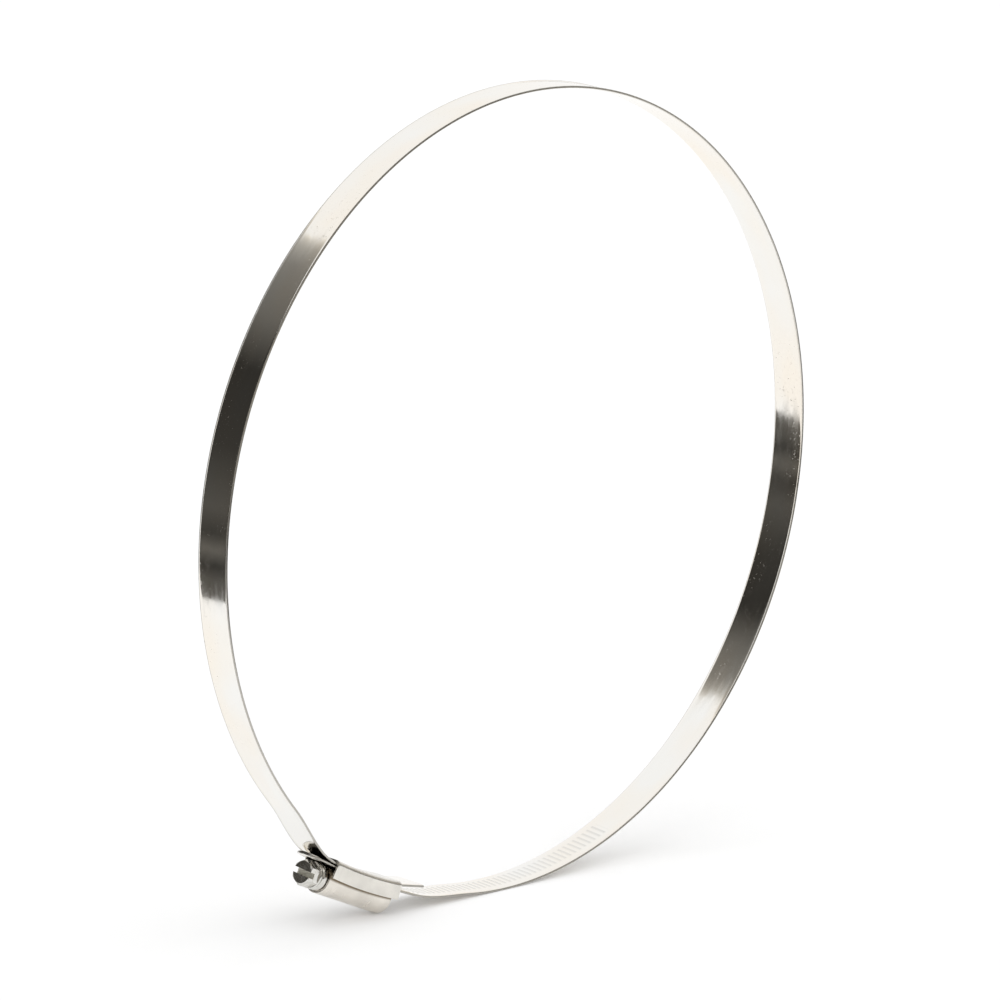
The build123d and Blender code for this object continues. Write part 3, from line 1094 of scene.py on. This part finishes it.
def make_floor():
    """A pale floor under the ring."""
    corners = [
        (x * FLOOR_REACH, y * FLOOR_REACH, FLOOR_LEVEL)
        for x, y in ((-1, -1), (1, -1), (1, 1), (-1, 1))
    ]
    material, tree, shader = matt("pale_floor", (0.9, 0.9, 0.9))
    shader.inputs["Emission Color"].default_value = (1, 1, 1, 1)
    tree.links.new(white_for_view(tree, FLOOR_GLOW), shader.inputs["Emission Strength"])
    floor = mesh_object("studio_floor", corners, [(0, 1, 2, 3)], material)


def make_world():
    """A white studio all round, dimmer as a light than to the eye."""
    world = bpy.data.worlds.new("studio")
    world.use_nodes = True
    bpy.context.scene.world = world
    tree = world.node_tree
    background = tree.nodes["Background"]
    background.inputs["Color"].default_value = (1, 1, 1, 1)
    seen = white_for_view(tree, 1 - SKY_LIGHT)
    tree.links.new(calc(tree, "ADD", seen, SKY_LIGHT), background.inputs["Strength"])


def make_card(name, near_edge, far_edge, stops):
    """A sheet between two lines of points that only reflections see, toned by height."""
    material, tree, shader = matt(name, (0, 0, 0))
    shader.inputs["Emission Strength"].default_value = 1.0
    place = add_node(tree, "ShaderNodeTexCoord").outputs["Object"]
    height = add_node(tree, "ShaderNodeSeparateXYZ", {0: place}).outputs[2]
    low, high = stops[0][0], stops[-1][0]
    ramp = add_node(tree, "ShaderNodeValToRGB", {0: remap(tree, height, low, high, 0, 1)})
    marks = ramp.color_ramp.elements
    while len(marks) < len(stops):
        marks.new(1.0)
    for mark, (level, tone) in zip(marks, stops):
        mark.position = (level - low) / (high - low)
        mark.color = (tone, tone * 0.95, tone * 0.86, 1)
    tree.links.new(ramp.outputs[0], shader.inputs["Emission Color"])
    verts = [
        Vector(near).lerp(Vector(far), i / CARD_COLUMNS)
        for near, far in zip(near_edge, far_edge)
        for i in range(CARD_COLUMNS + 1)
    ]
    wide = CARD_COLUMNS + 1
    faces = [
        (row * wide + i, row * wide + i + 1, (row + 1) * wide + i + 1, (row + 1) * wide + i)
        for row in range(len(near_edge) - 1)
        for i in range(CARD_COLUMNS)
    ]
    card = mesh_object(name, verts, faces, material)
    card.visible_camera = False
    card.visible_diffuse = False
    card.visible_shadow = False
    card.visible_transmission = False


def card_edge(foot, top):
    """Points from a sloping card's foot to its top."""
    return [Vector(foot).lerp(Vector(top), t) for t in spaced(0, 1, SIDE_CARD_ROWS)]


# What the polished strip mirrors: how bright a card is at each height.
SIDE_CARD = (
    (-0.122, 0.12),
    (-0.095, 0.09),
    (-0.078, 0.04),
    (-0.06, 0.13),
    (-0.042, 0.045),
    (-0.013, 0.085),
    (0.05, 0.04),
    (0.13, 0.03),
    (0.19, 0.14),
    (0.28, 0.22),
    (0.34, 0.4),
    (0.385, 0.65),
    (0.42, 1.0),
)
FRONT_CARD = (
    (-0.1215, 0.03),
    (-0.06, 0.05),
    (0.0, 0.5),
    (0.35, 0.5),
    (0.7, 0.1),
    (3.2, 0.1),
)
HORIZON_CARD = ((-0.12, 0.05), (0.2, 0.05), (0.24, 0.6))


def make_key():
    """A soft lamp high overhead that draws the clamp's shadow on the floor."""
    data = bpy.data.lights.new("key_light", "SUN")
    data.angle = math.radians(KEY_ANGLE)
    data.energy = KEY_ENERGY
    lamp = bpy.data.objects.new("key_light", data)
    lamp.rotation_euler = Vector(TOWARD_KEY).to_track_quat("Z", "Y").to_euler()
    lamp.visible_glossy = False
    bpy.context.scene.collection.objects.link(lamp)


def make_camera():
    """The main view, through a long lens."""
    azimuth, elevation = math.radians(CAMERA_AZIMUTH), math.radians(CAMERA_ELEVATION)
    back = Vector(
        (
            math.sin(azimuth) * math.cos(elevation),
            -math.cos(azimuth) * math.cos(elevation),
            math.sin(elevation),
        )
    )
    data = bpy.data.cameras.new("main_camera")
    data.sensor_width = 36
    data.lens = CAMERA_LENS
    data.shift_x, data.shift_y = CAMERA_SHIFT
    data.clip_end = 50
    camera = bpy.data.objects.new("main_camera", data)
    camera.location = back * CAMERA_DISTANCE
    turn = back.to_track_quat("Z", "Y") @ Quaternion((0, 0, 1), math.radians(CAMERA_ROLL))
    camera.rotation_euler = turn.to_euler()
    bpy.context.scene.collection.objects.link(camera)
    bpy.context.scene.camera = camera


make_floor()
make_world()
make_key()
make_card(
    "side_card",
    card_edge((-0.44, 0, -0.122), (-0.186, 0, 0.42)),
    card_edge((0.0, 0.45, -0.122), (-0.186, 0.45, 0.42)),
    SIDE_CARD,
)
make_card(
    "front_card",
    ((-2.5, -0.2, -0.1215), (-2.5, -0.45, -0.1215), (-2.5, -0.45, 0.2), (-2.5, -0.45, 3.2)),
    ((2.5, -0.2, -0.1215), (2.5, -0.45, -0.1215), (2.5, -0.45, 0.2), (2.5, -0.45, 3.2)),
    FRONT_CARD,
)
make_card(
    "horizon_card",
    ((1.5, -0.4, -0.12), (1.5, -0.4, 0.24)),
    ((0.9, -1.2, -0.12), (0.9, -1.2, 0.24)),
    HORIZON_CARD,
)
make_camera()

scene = bpy.context.scene
scene.view_settings.view_transform = "Standard"
